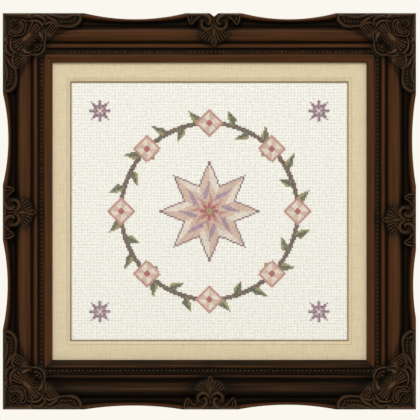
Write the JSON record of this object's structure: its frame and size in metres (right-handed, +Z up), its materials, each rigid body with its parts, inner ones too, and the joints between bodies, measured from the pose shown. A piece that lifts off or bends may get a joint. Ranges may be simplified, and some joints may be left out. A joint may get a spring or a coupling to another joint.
{
  "type": "framed cross-stitch picture",
  "caption": "Wall picture: swept dark wooden frame with cast scroll ornaments, linen-covered mat and a cross-stitched sampler wreath on woven cloth.",
  "frame": {"origin": "centre of the frame's flat back, on the backing board's back face", "axes": "+X to the viewer's right along the width, +Z up, the picture faces -Y, the wall is on +Y"},
  "size_m": [0.49, 0.0442, 0.47],
  "materials": {
    "stained_wood": "satin",
    "cast_composition": "satin",
    "linen": "matte",
    "brown_card": "matte",
    "aida_cloth": "matte",
    "white_board": "matte",
    "hardboard": "matte",
    "brass": "satin",
    "zinc_steel": "satin",
    "rubber": "matte"
  },
  "bodies": {
    "frame": {"rail_top": "stained_wood", "rail_bottom": "stained_wood", "rail_left": "stained_wood", "rail_right": "stained_wood", "v_nail_top_left_1": "zinc_steel", "v_nail_top_left_2": "zinc_steel", "v_nail_top_right_1": "zinc_steel", "v_nail_top_right_2": "zinc_steel", "v_nail_bottom_left_1": "zinc_steel", "v_nail_bottom_left_2": "zinc_steel", "v_nail_bottom_right_1": "zinc_steel", "v_nail_bottom_right_2": "zinc_steel", "corner_ornament_top_left": "cast_composition", "corner_ornament_top_right": "cast_composition", "corner_ornament_bottom_left": "cast_composition", "corner_ornament_bottom_right": "cast_composition", "centre_ornament_top": "cast_composition", "centre_ornament_bottom": "cast_composition", "centre_ornament_left": "cast_composition", "centre_ornament_right": "cast_composition", "linen_mat": "linen", "brown_undermat": "brown_card", "embroidered_cloth": "aida_cloth", "mounting_board": "white_board", "backing_board": "hardboard", "button_screw_left_upper": "brass", "button_screw_left_lower": "brass", "button_screw_right_upper": "brass", "button_screw_right_lower": "brass", "sawtooth_hanger": "zinc_steel", "hanger_nail_left": "zinc_steel", "hanger_nail_right": "zinc_steel", "bumper_pad_left": "rubber", "bumper_pad_right": "rubber"},
    "button_left_upper": {"turn_button_left_upper": "brass"},
    "button_left_lower": {"turn_button_left_lower": "brass"},
    "button_right_upper": {"turn_button_right_upper": "brass"},
    "button_right_lower": {"turn_button_right_lower": "brass"}
  },
  "joints": [
    {"name": "button_left_upper_swivel", "type": "hinge", "parent": "frame", "child": "button_left_upper", "pos_m": [-0.201, 0.0009, 0.095], "axis": [0, 1, 0], "continuous": true},
    {"name": "button_left_lower_swivel", "type": "hinge", "parent": "frame", "child": "button_left_lower", "pos_m": [-0.201, 0.0009, -0.095], "axis": [0, 1, 0], "continuous": true},
    {"name": "button_right_upper_swivel", "type": "hinge", "parent": "frame", "child": "button_right_upper", "pos_m": [0.201, 0.0009, 0.095], "axis": [0, 1, 0], "continuous": true},
    {"name": "button_right_lower_swivel", "type": "hinge", "parent": "frame", "child": "button_right_lower", "pos_m": [0.201, 0.0009, -0.095], "axis": [0, 1, 0], "continuous": true}
  ]
}
